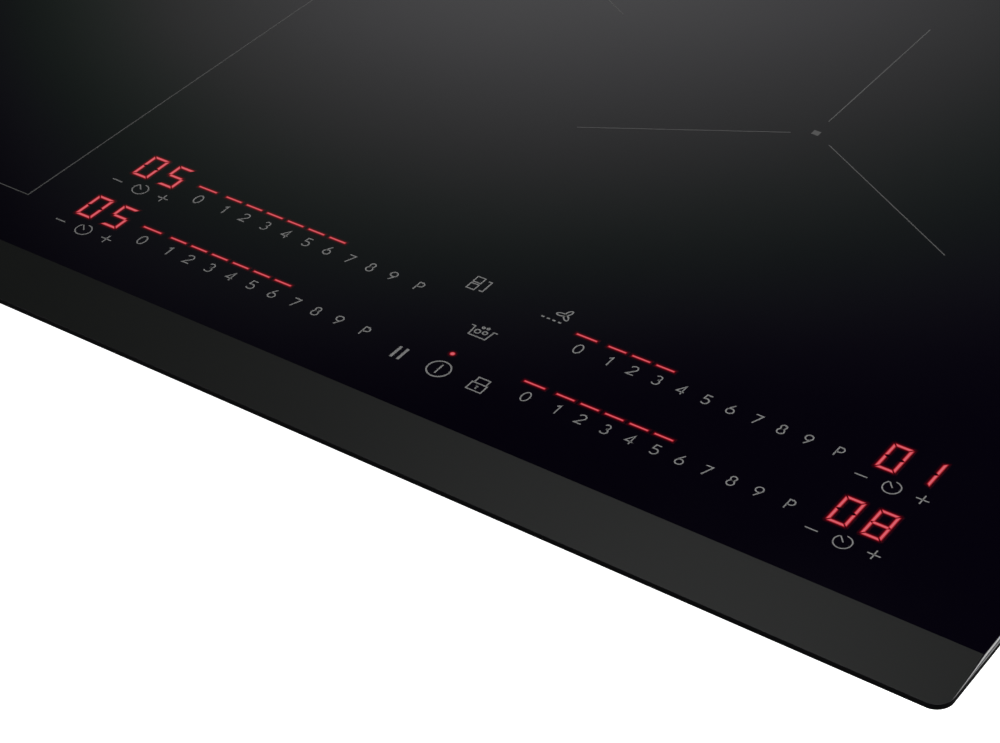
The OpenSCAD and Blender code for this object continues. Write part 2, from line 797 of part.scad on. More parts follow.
// Plate with a rolled channel for the leaf's root, riveted to the side wall
module clip_brackets() {
    color([0.72, 0.73, 0.75]) at_clips() {
        translate([0, -clip_w / 2, 22]) cube([0.8, clip_w, 9]);
        translate([0, -clip_w / 2, 22]) cube([6, clip_w, 0.6]);
        for (y = clip_rivets_y) translate([-3, y, clip_rivet_z]) rotate([0, 90, 0]) {
            cylinder(r = screw_r, h = 4);
            translate([0, 0, 3.8]) cylinder(r = 2.4, h = 0.7);
        }
    }
}

// Sprung leaf: a round root, a slope out and a crown that slopes back to the case
module clip_leaf(c) {
    color([0.78, 0.79, 0.8]) place_clip(c) translate([0, clip_w / 2 - 1, 0]) rotate([90, 0, 0])
            linear_extrude(height = clip_w - 2) {
                translate([clip_root_x, clip_root_z]) circle(r = 1);
                polygon([[clip_root_x - 0.3, clip_root_z + 0.9], [clip_root_x + 0.6, clip_root_z + 0.4],
                         [8.6, 33.4], [8.4, 34.6], [5.2, 37], [4.7, 36.4], [7.6, 34]]);
            }
}

glass_plate();
zone_marks();
glass_seal();
silicone_bond();
insulation_mat();
mounting_frame();
base_plate();
case_walls();
case_screws();
winding(left_front_coil);  // coil_left_front_winding
former(left_front_coil);  // coil_left_front_former
ferrites(left_front_coil);  // coil_left_front_ferrites
shield(left_front_coil);  // coil_left_front_shield
sensor(left_front_coil);  // coil_left_front_sensor
springs(left_front_coil);  // coil_left_front_springs
winding(left_rear_coil);  // coil_left_rear_winding
former(left_rear_coil);  // coil_left_rear_former
ferrites(left_rear_coil);  // coil_left_rear_ferrites
shield(left_rear_coil);  // coil_left_rear_shield
sensor(left_rear_coil);  // coil_left_rear_sensor
springs(left_rear_coil);  // coil_left_rear_springs
winding(centre_rear_coil);  // coil_centre_rear_winding
former(centre_rear_coil);  // coil_centre_rear_former
ferrites(centre_rear_coil);  // coil_centre_rear_ferrites
shield(centre_rear_coil);  // coil_centre_rear_shield
sensor(centre_rear_coil);  // coil_centre_rear_sensor
springs(centre_rear_coil);  // coil_centre_rear_springs
winding(right_coil);  // coil_right_winding
former(right_coil);  // coil_right_former
ferrites(right_coil);  // coil_right_ferrites
shield(right_coil);  // coil_right_shield
sensor(right_coil);  // coil_right_sensor
springs(right_coil);  // coil_right_springs
nylon_supports();
power_boards();
heatsinks();
power_transistors();
resonant_capacitors();
chokes();
fan_frame(front_fan);  // fan_front_frame
fan_rotor(front_fan);  // fan_front_rotor
fan_frame(rear_fan);  // fan_rear_frame
fan_rotor(rear_fan);  // fan_rear_rotor
fan_stators();
control_carrier();
control_board();
timer_displays();
level_light_bars();
touch_springs();
ribbon_cable();
terminal_box();
terminal_block();
terminal_screws();
terminal_cover();
cable_inlet();
clip_brackets();
clip_leaf(clips[0]);  // clip_left_front
clip_leaf(clips[1]);  // clip_left_rear
clip_leaf(clips[2]);  // clip_right_front
clip_leaf(clips[3]);  // clip_right_rear
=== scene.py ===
"""Looks of a built-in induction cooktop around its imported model. Metres: +X right, +Y back, +Z up."""
import json
import math

import bmesh
import bpy
from mathutils import Matrix, Vector


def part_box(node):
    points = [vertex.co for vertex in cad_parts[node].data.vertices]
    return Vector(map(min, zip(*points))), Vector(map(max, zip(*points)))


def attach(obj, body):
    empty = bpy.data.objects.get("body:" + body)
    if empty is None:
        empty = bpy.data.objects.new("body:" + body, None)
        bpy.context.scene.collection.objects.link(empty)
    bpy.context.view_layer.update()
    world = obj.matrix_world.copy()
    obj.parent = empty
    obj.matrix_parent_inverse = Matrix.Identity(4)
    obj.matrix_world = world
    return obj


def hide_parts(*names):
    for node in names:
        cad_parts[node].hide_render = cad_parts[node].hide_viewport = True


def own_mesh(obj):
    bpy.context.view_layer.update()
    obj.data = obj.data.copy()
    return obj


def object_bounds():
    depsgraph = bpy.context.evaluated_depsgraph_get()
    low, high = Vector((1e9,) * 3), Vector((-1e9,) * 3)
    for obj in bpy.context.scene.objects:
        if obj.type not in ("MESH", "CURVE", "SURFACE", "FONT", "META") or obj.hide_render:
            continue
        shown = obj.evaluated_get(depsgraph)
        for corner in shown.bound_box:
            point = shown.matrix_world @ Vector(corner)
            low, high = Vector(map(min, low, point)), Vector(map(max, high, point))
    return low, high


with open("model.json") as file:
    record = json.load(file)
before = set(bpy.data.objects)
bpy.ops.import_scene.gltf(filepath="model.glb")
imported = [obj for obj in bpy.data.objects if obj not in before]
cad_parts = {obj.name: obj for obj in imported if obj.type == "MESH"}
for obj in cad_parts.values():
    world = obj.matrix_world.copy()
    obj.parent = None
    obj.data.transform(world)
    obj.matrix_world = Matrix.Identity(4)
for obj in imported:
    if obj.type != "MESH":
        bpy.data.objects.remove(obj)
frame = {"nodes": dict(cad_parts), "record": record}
cad_low, cad_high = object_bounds()

MM = 0.001
GLASS_LOW, GLASS_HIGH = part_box("glass_plate")
GLASS_TOP = GLASS_HIGH.z
PITCH = 12.5 * MM  # distance between two level keys
DISPLAY_LOW, DISPLAY_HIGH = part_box("timer_displays")
PANEL_X = (DISPLAY_LOW.x + DISPLAY_HIGH.x) / 2
ROW_GAP = 40.6 * MM
FRONT_ROW = DISPLAY_LOW.y + 1.5 * MM
ROWS = (FRONT_ROW, FRONT_ROW + ROW_GAP)


# ---------------------------------------------------------------- meshes

def mesh_object(name, bm, materials, smooth=False):
    """Turns a bmesh into a linked object with the materials given."""
    bm.normal_update()
    data = bpy.data.meshes.new(name)
    bm.to_mesh(data)
    bm.free()
    for material in materials:
        data.materials.append(material)
    if smooth:
        for polygon in data.polygons:
            polygon.use_smooth = True
    obj = bpy.data.objects.new(name, data)
    bpy.context.scene.collection.objects.link(obj)
    return obj


def piece(obj, body="hob", replaces=()):
    """Puts a finished object under the empty of its body and hides the CAD nodes it stands for."""
    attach(obj, body)
    if replaces:
        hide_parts(*replaces)
    return obj


def arc(cx, cy, radius, start, end, steps=12, squash=1.0):
    """Points on an arc, in degrees; squash scales its height."""
    turn = [math.radians(start + (end - start) * i / steps) for i in range(steps + 1)]
    return [(cx + radius * math.cos(t), cy + squash * radius * math.sin(t)) for t in turn]


def add_prism(bm, outline, low, high):
    """Adds an upright prism over a flat outline."""
    bottom = [bm.verts.new((x, y, low)) for x, y in outline]
    top = [bm.verts.new((x, y, high)) for x, y in outline]
    bm.faces.new(top)
    bm.faces.new(bottom[::-1])
    for i, corner in enumerate(bottom):
        j = (i + 1) % len(bottom)
        bm.faces.new((corner, bottom[j], top[j], top[i]))


def join_rings(bm, rings, closed=False, clockwise=False):
    """Skins a row of rings of vertices, with a face at each end unless the row closes on itself.
    Clockwise says which way the rings turn, seen along the row."""
    count = len(rings[0])
    for a, b in zip(rings, rings[1:] + rings[:1] if closed else rings[1:]):
        for k in range(count):
            m = (k + 1) % count
            bm.faces.new((a[k], a[m], b[m], b[k]) if clockwise else (a[k], b[k], b[m], a[m]))
    if not closed:
        step = -1 if clockwise else 1
        bm.faces.new(rings[0][::step])
        bm.faces.new(rings[-1][::-step])


def offset_sides(points, width, closed):
    """The left and right edges of a stroke of the given width, mitred at each corner."""
    count = len(points)
    left, right = [], []
    for i, here in enumerate(points):
        before = points[i - 1] if i or closed else None
        after = points[(i + 1) % count] if i < count - 1 or closed else None
        normals = []
        for a, b in ((before, here), (here, after)):
            if a is not None and b is not None:
                edge = (Vector(b) - Vector(a)).normalized()
                normals.append(Vector((-edge.y, edge.x)))
        mitre = sum(normals, Vector((0, 0))).normalized()
        reach = width / 2 / max(mitre.dot(normals[0]), 0.4)
        left.append(Vector(here) + mitre * reach)
        right.append(Vector(here) - mitre * reach)
    return left, right


def add_stroke(bm, points, width, low, high, closed=False):
    """Adds one printed stroke: a thin strip of constant width with upright sides."""
    rings = []
    for left, right in zip(*offset_sides(points, width, closed)):
        corners = ((left, low), (right, low), (right, high), (left, high))
        rings.append([bm.verts.new((p.x, p.y, z)) for p, z in corners])
    join_rings(bm, rings, closed)


# ---------------------------------------------------------------- materials

def new_material(name, base, roughness, metallic=0.0, **sockets):
    """A Principled material. Sockets are set by their names with _ for a space."""
    material = bpy.data.materials.new(name)
    material.use_nodes = True
    shader = material.node_tree.nodes["Principled BSDF"]
    shader.inputs["Base Color"].default_value = (*base, 1)
    shader.inputs["Roughness"].default_value = roughness
    shader.inputs["Metallic"].default_value = metallic
    for key, value in sockets.items():
        shader.inputs[key.replace("_", " ")].default_value = value
    return material


def tree_of(material):
    """The node tree, its shader, and a maker of nodes."""
    tree = material.node_tree
    return tree, tree.nodes["Principled BSDF"], tree.nodes.new


def texture(material, kind, scale, stretch=(1, 1, 1), **settings):
    """A 3D texture node on object coordinates, stretched along the axes."""
    tree, _, new = tree_of(material)
    place = new("ShaderNodeTexCoord")
    mapping = new("ShaderNodeMapping")
    mapping.inputs["Scale"].default_value = stretch
    node = new(kind)
    node.inputs["Scale"].default_value = scale
    for key, value in settings.items():
        if key in node.inputs:
            node.inputs[key].default_value = value
        else:
            setattr(node, key, value)
    tree.links.new(place.outputs["Object"], mapping.inputs["Vector"])
    tree.links.new(mapping.outputs["Vector"], node.inputs["Vector"])
    return node


def ramp(material, source, stops):
    """A colour ramp from a list of (position, colour)."""
    tree, _, new = tree_of(material)
    node = new("ShaderNodeValToRGB")
    elements = node.color_ramp.elements
    elements[0].position, elements[0].color = stops[0][0], (*stops[0][1], 1)
    elements[1].position, elements[1].color = stops[-1][0], (*stops[-1][1], 1)
    for position, colour in stops[1:-1]:
        elements.new(position).color = (*colour, 1)
    tree.links.new(source, node.inputs["Fac"])
    return node.outputs["Color"]


TEXTURE_SPAN = (0.35, 0.65)  # the middle of a texture's range, where most of its values lie


def vary_colour(material, source, low, high):
    """Base colour that wanders between two colours."""
    tree, shader, _ = tree_of(material)
    colour = ramp(material, source, list(zip(TEXTURE_SPAN, (low, high))))
    tree.links.new(colour, shader.inputs["Base Color"])


def vary_roughness(material, source, low, high):
    """Roughness that wanders between two values."""
    tree, shader, new = tree_of(material)
    node = new("ShaderNodeMapRange")
    node.inputs["To Min"].default_value = low
    node.inputs["To Max"].default_value = high
    tree.links.new(source, node.inputs["Value"])
    tree.links.new(node.outputs["Result"], shader.inputs["Roughness"])


def add_bump(material, source, strength, distance):
    """Surface relief from a texture, distance in metres."""
    tree, shader, new = tree_of(material)
    node = new("ShaderNodeBump")
    node.inputs["Strength"].default_value = strength
    node.inputs["Distance"].default_value = distance
    tree.links.new(source, node.inputs["Height"])
    tree.links.new(node.outputs["Normal"], shader.inputs["Normal"])


GLASS_COLOUR = (0.0018, 0.001, 0.0043)


def black_glass():
    """Polished glass ceramic, black right through, with a hint of blue."""
    material = new_material("black_glass", GLASS_COLOUR, 0.07)
    cloud = texture(material, "ShaderNodeTexNoise", 18, Detail=3.0)
    vary_roughness(material, cloud.outputs["Fac"], 0.05, 0.09)
    return material


def ground_glass():
    """The front bevel: the same glass, ground and satin polished to a dark grey."""
    material = new_material("ground_glass", (0.0068, 0.0072, 0.007), 0.36, Specular_IOR_Level=0.25)
    grain = texture(material, "ShaderNodeTexNoise", 900, stretch=(0.15, 1, 1), Detail=4.0)
    cloud = texture(material, "ShaderNodeTexNoise", 9, Detail=2.0)
    vary_colour(material, cloud.outputs["Fac"], (0.006, 0.0068, 0.0064), (0.0068, 0.0074, 0.0071))
    add_bump(material, grain.outputs["Fac"], 0.15, 0.00002)
    return material


def edge_glass():
    """The glass's rounded rim, polished."""
    material = new_material("edge_glass", GLASS_COLOUR, 0.16)
    grain = texture(material, "ShaderNodeTexNoise", 700, Detail=3.0)
    vary_roughness(material, grain.outputs["Fac"], 0.12, 0.22)
    return material


def wall_glass():
    """The glass's upright wall and underside: ground, then coated black."""
    material = new_material("wall_glass", (0.0012, 0.0012, 0.0014), 0.8, Specular_IOR_Level=0.02)
    grain = texture(material, "ShaderNodeTexNoise", 1500, Detail=4.0)
    add_bump(material, grain.outputs["Fac"], 0.3, 0.00003)
    return material


def grey_print(name, tone):
    """Grey ceramic ink, slightly uneven where it was screened on."""
    material = new_material(name, (tone, tone, tone), 0.45)
    speck = texture(material, "ShaderNodeTexNoise", 2600, Detail=2.0)
    vary_colour(material, speck.outputs["Fac"], (0.9 * tone,) * 3, (1.1 * tone,) * 3)
    return material


def glow(name, colour, strength):
    """Light seen through the glass, which keeps the glass's own gloss."""
    material = new_material(name, GLASS_COLOUR, 0.07, Emission_Strength=strength)
    material.node_tree.nodes["Principled BSDF"].inputs["Emission Color"].default_value = (*colour, 1)
    return material


# ---------------------------------------------------------------- metal, plastic and the rest

def metal(name, base, roughness, scale=60, stretch=(1, 1, 1), spread=0.12, relief=0.00001):
    """Bare metal: its shade and gloss wander with a grain that may run along one axis."""
    material = new_material(name, base, roughness, 1.0)
    grain = texture(material, "ShaderNodeTexNoise", scale, stretch=stretch, Detail=6.0, Roughness=0.6)
    dark, light = [tuple(c * share for c in base) for share in (1 - spread, min(1 + spread, 1 / max(base)))]
    vary_colour(material, grain.outputs["Fac"], dark, light)
    vary_roughness(material, grain.outputs["Fac"], roughness * 0.7, roughness * 1.35)
    add_bump(material, grain.outputs["Fac"], 0.35, relief)
    return material


def moulded(name, base, roughness, scale=900, relief=0.00003, **sockets):
    """Moulded plastic, rubber or resin: a fine texture and slightly cloudy colour."""
    material = new_material(name, base, roughness, **sockets)
    grain = texture(material, "ShaderNodeTexNoise", scale, Detail=5.0)
    cloud = texture(material, "ShaderNodeTexNoise", 35, Detail=3.0)
    dark, light = [tuple(min(share * c, 1) for c in base) for share in (0.86, 1.15)]
    vary_colour(material, cloud.outputs["Fac"], dark, light)
    vary_roughness(material, grain.outputs["Fac"], roughness * 0.85, min(roughness * 1.15, 1))
    add_bump(material, grain.outputs["Fac"], 0.3, relief)
    return material


def galvanised_steel():
    """Zinc-coated sheet with its crystal spangle."""
    material = metal("galvanised_steel", (0.4, 0.415, 0.43), 0.38, 220, relief=0.000008)
    tree, shader, _ = tree_of(material)
    spangle = texture(material, "ShaderNodeTexVoronoi", 130, Randomness=1.0)
    stops = [(0.0, (0.33, 0.345, 0.36)), (0.5, (0.4, 0.415, 0.43)), (1.0, (0.47, 0.485, 0.5))]
    tree.links.new(ramp(material, spangle.outputs["Color"], stops), shader.inputs["Base Color"])
    return material


def coated_steel():
    """Steel with a black powder coat, which dries with an orange peel."""
    return moulded("coated_steel", (0.018, 0.018, 0.019), 0.42, 420, 0.00006)


def foam_seal():
    """Closed-cell foam strip."""
    material = new_material("foam_seal", (0.02, 0.02, 0.021), 0.95)
    cells = texture(material, "ShaderNodeTexVoronoi", 1400)
    vary_colour(material, cells.outputs["Distance"], (0.01, 0.01, 0.01), (0.035, 0.035, 0.036))
    add_bump(material, cells.outputs["Distance"], 0.8, 0.0002)
    return material


def fibre_mat():
    """Needled glass-fibre insulation."""
    material = new_material("fibre_mat", (0.66, 0.62, 0.53), 0.95)
    strands = texture(material, "ShaderNodeTexNoise", 500, stretch=(1, 0.12, 1), Detail=8.0, Distortion=2.0)
    vary_colour(material, strands.outputs["Fac"], (0.5, 0.46, 0.38), (0.78, 0.75, 0.67))
    add_bump(material, strands.outputs["Fac"], 0.9, 0.0003)
    return material


def wire(name, dark, light, strands=900):
    """Enamelled copper, twisted or wound close: fine slanting bands."""
    material = new_material(name, light, 0.35, 0.85, Coat_Weight=0.4)
    bands = texture(material, "ShaderNodeTexWave", strands, Distortion=1.5, Detail=2.0,
                    bands_direction="DIAGONAL")
    vary_colour(material, bands.outputs["Fac"], dark, light)
    add_bump(material, bands.outputs["Fac"], 0.8, 0.0002)
    return material


def circuit_board():
    """Green solder mask over copper tracks."""
    material = new_material("circuit_board", (0.01, 0.09, 0.035), 0.32, Coat_Weight=0.5)
    tracks = texture(material, "ShaderNodeTexVoronoi", 110, stretch=(1, 0.6, 1), distance="CHEBYCHEV",
                     feature="DISTANCE_TO_EDGE")
    tree, shader, _ = tree_of(material)
    stops = [(0.0, (0.006, 0.055, 0.02)), (0.07, (0.006, 0.055, 0.02)), (0.1, (0.014, 0.13, 0.045)),
             (1.0, (0.01, 0.1, 0.036))]
    tree.links.new(ramp(material, tracks.outputs["Distance"], stops), shader.inputs["Base Color"])
    add_bump(material, tracks.outputs["Distance"], 0.3, 0.00005)
    return material


def ribbon():
    """Flat cable: grey conductors side by side."""
    material = new_material("ribbon", (0.35, 0.35, 0.37), 0.45)
    cores = texture(material, "ShaderNodeTexWave", 250, bands_direction="X", wave_profile="SIN")
    vary_colour(material, cores.outputs["Fac"], (0.26, 0.26, 0.28), (0.45, 0.45, 0.47))
    add_bump(material, cores.outputs["Fac"], 0.7, 0.0003)
    return material


MATERIALS = {
    "black_glass": black_glass,
    "grey_print": lambda: grey_print("zone_print", 0.085),
    "foam_seal": foam_seal,
    "silicone": lambda: moulded("silicone", (0.03, 0.03, 0.031), 0.35, 200, 0.0001),
    "fibre_mat": fibre_mat,
    "coated_steel": coated_steel,
    "galvanised_steel": galvanised_steel,
    "zinc_screw": lambda: metal("zinc_screw", (0.44, 0.435, 0.41), 0.32, 900),
    "copper_litz": lambda: wire("copper_litz", (0.22, 0.07, 0.03), (0.72, 0.3, 0.14)),
    "former_plastic": lambda: moulded("former_plastic", (0.03, 0.03, 0.032), 0.6),
    "ferrite": lambda: moulded("ferrite", (0.05, 0.05, 0.053), 0.45, 1600, 0.00005),
    "aluminium_sheet": lambda: metal("aluminium_sheet", (0.78, 0.79, 0.8), 0.34, 400, (0.04, 1, 1)),
    "sensor_ceramic": lambda: moulded("sensor_ceramic", (0.78, 0.76, 0.7), 0.5),
    "spring_steel": lambda: metal("spring_steel", (0.58, 0.58, 0.6), 0.25, 1200),
    "natural_nylon": lambda: moulded("natural_nylon", (0.74, 0.72, 0.64), 0.45, Subsurface_Weight=0.15,
                                     Subsurface_Scale=0.002),
    "circuit_board": circuit_board,
    "extruded_aluminium": lambda: metal("extruded_aluminium", (0.7, 0.71, 0.73), 0.38, 900, (1, 0.02, 1)),
    "black_epoxy": lambda: moulded("black_epoxy", (0.02, 0.02, 0.021), 0.55, 1500),
    "capacitor_case": lambda: moulded("capacitor_case", (0.5, 0.36, 0.07), 0.3, Coat_Weight=0.3),
    "choke_copper": lambda: wire("choke_copper", (0.3, 0.08, 0.02), (0.62, 0.22, 0.08), 1500),
    "fan_plastic": lambda: moulded("fan_plastic", (0.018, 0.018, 0.018), 0.4),
    "fan_rotor_plastic": lambda: moulded("fan_rotor_plastic", (0.028, 0.028, 0.03), 0.35),
    "carrier_plastic": lambda: moulded("carrier_plastic", (0.025, 0.025, 0.027), 0.6),
    "display_module": lambda: moulded("display_module", (0.12, 0.01, 0.01), 0.25),
    "red_diffuser": lambda: moulded("red_diffuser", (0.4, 0.02, 0.015), 0.3, Transmission_Weight=0.2),
    "tinned_spring": lambda: metal("tinned_spring", (0.72, 0.7, 0.65), 0.3, 1500),
    "ribbon": ribbon,
    "terminal_plastic": lambda: moulded("terminal_plastic", (0.03, 0.03, 0.032), 0.5, 700, 0.00006),
    "cream_plastic": lambda: moulded("cream_plastic", (0.66, 0.62, 0.5), 0.4),
    "brass_screw": lambda: metal("brass_screw", (0.75, 0.56, 0.25), 0.25, 900),
    "inlet_rubber": lambda: moulded("inlet_rubber", (0.018, 0.018, 0.018), 0.8, 500, 0.0001),
    "zinc_sheet": lambda: metal("zinc_sheet", (0.42, 0.435, 0.45), 0.34, 300),
    "leaf_steel": lambda: metal("leaf_steel", (0.4, 0.405, 0.42), 0.26, 900, (1, 0.03, 1)),
}


def finish_nodes():
    """Gives every CAD node the material of its slot, and returns the materials by slot."""
    made = {}
    for row in frame["record"]["subparts"]:
        slot = row["material_slot"]
        if slot not in made:
            made[slot] = MATERIALS[slot]()
        data = frame["nodes"][row["node"]].data
        data.materials.clear()
        data.materials.append(made[slot])
    return made


# ---------------------------------------------------------------- the glass

GLASS_CORNER = 8 * MM
RIM = 1.5 * MM
BEVEL_WIDTH = 34 * MM
BEVEL_DROP = 1.1 * MM
BEVEL_BACK = GLASS_LOW.y + BEVEL_WIDTH


def bevel_share(y):
    """How far down the bevel a place is: 0 at its back line, 1 at the front edge."""
    return max(0.0, (BEVEL_BACK - y) / BEVEL_WIDTH)


def rim_radius(y):
    """The rounded edge runs out along the bevel and is almost sharp at the front."""
    return RIM * (0.06 + 0.94 * (1 - min(bevel_share(y), 1)) ** 2)


def outline(inset, corner_steps=14, bevel_steps=10):
    """The glass's outline, inset, anticlockwise from the bevel's back line on the right.
    Returns the points and the place of the other point on that line."""
    w, d = GLASS_HIGH.x - inset, GLASS_HIGH.y - inset
    r = GLASS_CORNER - inset
    corner_y = r - d
    side = [BEVEL_BACK + (corner_y - BEVEL_BACK) * i / bevel_steps for i in range(bevel_steps)]
    points = [(w, BEVEL_BACK)]
    for cx, cy, start in ((w - r, d - r, 0), (r - w, d - r, 90)):
        points += arc(cx, cy, r, start, start + 90, corner_steps)
    seam = len(points)
    points += [(-w, y) for y in side]
    for cx, cy, start in ((r - w, r - d, 180), (w - r, r - d, 270)):
        points += arc(cx, cy, r, start, start + 90, corner_steps)
    points += [(w, y) for y in side[:0:-1]]
    return points, seam


def rim_loop(turn):
    """One line along the rounded rim, at an angle from the wall (0) to the top (a quarter turn)."""
    outer, _ = outline(0.0)
    inner, _ = outline(RIM)
    loop = []
    for a, b in zip(outer, inner):
        radius = rim_radius(a[1])
        share = radius * (1 - math.cos(turn)) / RIM
        x, y = a[0] + (b[0] - a[0]) * share, a[1] + (b[1] - a[1]) * share
        loop.append((x, y, GLASS_TOP - radius * (1 - math.sin(turn)) - BEVEL_DROP * bevel_share(y)))
    return loop


def glass_plate():
    """The plate: black walls, a rounded rim that follows the bevel down, a flat top and the ground bevel."""
    arris = 0.1 * MM
    rim_steps = 10
    points, seam = outline(arris)
    loops = [[(x, y, GLASS_LOW.z) for x, y in points],
             [(x, y, GLASS_LOW.z + arris) for x, y in outline(0.0)[0]]]
    loops += [rim_loop(math.pi / 2 * i / rim_steps) for i in range(rim_steps + 1)]
    bm = bmesh.new()
    rings = [[bm.verts.new(point) for point in loop] for loop in loops]
    bm.faces.new(rings[0][::-1]).material_index = 3
    for level, (a, b) in enumerate(zip(rings, rings[1:])):
        for i in range(len(a)):
            j = (i + 1) % len(a)
            face = bm.faces.new((a[i], a[j], b[j], b[i]))
            face.material_index = 3 if level < 2 else 2
            face.smooth = level >= 2
    top = rings[-1]
    bm.faces.new(top[:seam + 1]).material_index = 0
    bm.faces.new(top[seam:] + top[:1]).material_index = 1
    obj = mesh_object("glass", bm, [black_glass(), ground_glass(), edge_glass(), wall_glass()])
    return piece(obj, replaces=["glass_plate"])


# ---------------------------------------------------------------- print on the glass

PRINT_LOW = GLASS_TOP
PRINT_HIGH = GLASS_TOP + 0.02 * MM
LINE = 0.052  # width of a printed stroke, in key pitches


def digit_strokes():
    """Strokes of each level sign: lists of points, one unit high and centred, with True where closed."""
    ring = arc(0, 0, 0.3, 0, 345, 23, squash=1.7)
    six = [(0.1, 0.5), (-0.2, 0.02)]
    return {
        "0": [(ring, True)],
        "1": [([(-0.16, 0.3), (0.08, 0.48), (0.08, -0.5)], False)],
        "2": [(arc(0, 0.22, 0.27, 165, -35) + [(-0.28, -0.48), (0.3, -0.48)], False)],
        "3": [(arc(0, 0.25, 0.24, 150, -90), False), (arc(0, -0.22, 0.28, 90, -150), False)],
        "4": [([(0.14, -0.5), (0.14, 0.48), (-0.3, -0.22), (0.3, -0.22)], False)],
        "5": [([(0.24, 0.48), (-0.18, 0.48), (-0.22, 0.06)] + arc(0, -0.2, 0.29, 115, -145), False)],
        "6": [(arc(0, -0.21, 0.28, 0, 345, 23), True), (six, False)],
        "7": [([(-0.28, 0.48), (0.28, 0.48), (-0.1, -0.5)], False)],
        "8": [(arc(0, 0.26, 0.22, 0, 345, 23), True), (arc(0, -0.22, 0.27, 0, 345, 23), True)],
        "9": [(arc(0, 0.21, 0.28, 0, 345, 23), True), ([(-0.1, -0.5), (0.2, -0.02)], False)],
        "P": [([(-0.2, -0.5), (-0.2, 0.48), (0.02, 0.48)] + arc(0.02, 0.22, 0.26, 90, -90)
               + [(-0.2, -0.04)], False)],
    }


SLIDERS = (PANEL_X - 174.8 * MM, PANEL_X + 43.5 * MM)
TIMERS = (PANEL_X - 204.1 * MM, PANEL_X + 204.1 * MM)
SIGN_HEIGHT = 0.5  # of a level sign, in key pitches
FIRST_KEY = 1.288  # from a slider's 0 to its key 1, in key pitches
BOOST_STEP = 1.196  # from key 9 to the boost key


def key_offset(k):
    """Distance from a slider's 0 to its key k, in key pitches: 0, 1 to 9, then the boost key."""
    if k == 0:
        return 0
    return FIRST_KEY + min(k, 9) - 1 + (BOOST_STEP if k > 9 else 0)


def level_numbers(ink):
    """The signs 0 to 9 and P along each of the four sliders."""
    strokes = digit_strokes()
    size = SIGN_HEIGHT * PITCH
    bm = bmesh.new()
    for x0 in SLIDERS:
        for y0 in ROWS:
            for k, sign in enumerate("0123456789P"):
                x = x0 + key_offset(k) * PITCH
                for points, closed in strokes[sign]:
                    placed = [(x + px * size, y0 + py * size) for px, py in points]
                    add_stroke(bm, placed, LINE * PITCH, PRINT_LOW, PRINT_HIGH, closed)
    return piece(mesh_object("print_level_numbers", bm, [ink]))


def add_symbol(bm, centre, strokes, line=LINE):
    """Strokes in key pitches about a centre in metres."""
    for points, closed in strokes:
        placed = [(centre[0] + x * PITCH, centre[1] + y * PITCH) for x, y in points]
        add_stroke(bm, placed, line * PITCH, PRINT_LOW, PRINT_HIGH, closed)


TIMER_KEY_DROP = 0.68  # from a row of level signs to the timer keys in front of it, in key pitches
MINUS_X = -1.158
PLUS_X = 1.139


def timer_keys(ink):
    """A clock between minus and plus in front of each display."""
    clock = [(arc(0, 0, 0.32, 91, -227, 30), False), ([(-0.2, 0.24), (0.02, -0.01)], False)]
    minus = [([(-0.24, 0), (0.24, 0)], False)]
    plus = [([(-0.24, 0), (0.24, 0)], False), ([(0, -0.24), (0, 0.24)], False)]
    bm = bmesh.new()
    for x in TIMERS:
        for y in ROWS:
            row = y - TIMER_KEY_DROP * PITCH
            add_symbol(bm, (x, row), clock, 0.9 * LINE)
            add_symbol(bm, (x + MINUS_X * PITCH, row), minus)
            add_symbol(bm, (x + PLUS_X * PITCH, row), plus)
    return piece(mesh_object("print_timer_keys", bm, [ink]))


def rectangle_corners(x, y, w, h):
    """The corners of a rectangle by its centre and size, anticlockwise."""
    return [(x - w / 2, y - h / 2), (x + w / 2, y - h / 2), (x + w / 2, y + h / 2), (x - w / 2, y + h / 2)]


def fan_blades():
    """Three slim petals about a middle, as a plain fan sign."""
    strokes = []
    length, width = 0.34, 0.17
    for turn in (70, 190, 310):
        a = math.radians(turn)
        petal = arc(length / 2, 0, length / 2, 0, 340, 17, squash=width / length)
        strokes.append(([(x * math.cos(a) - y * math.sin(a), x * math.sin(a) + y * math.cos(a))
                         for x, y in petal], True))
    return strokes


def on_panel(x, y):
    """A place in key pitches from the middle of the front row."""
    return PANEL_X + x * PITCH, FRONT_ROW + y * PITCH


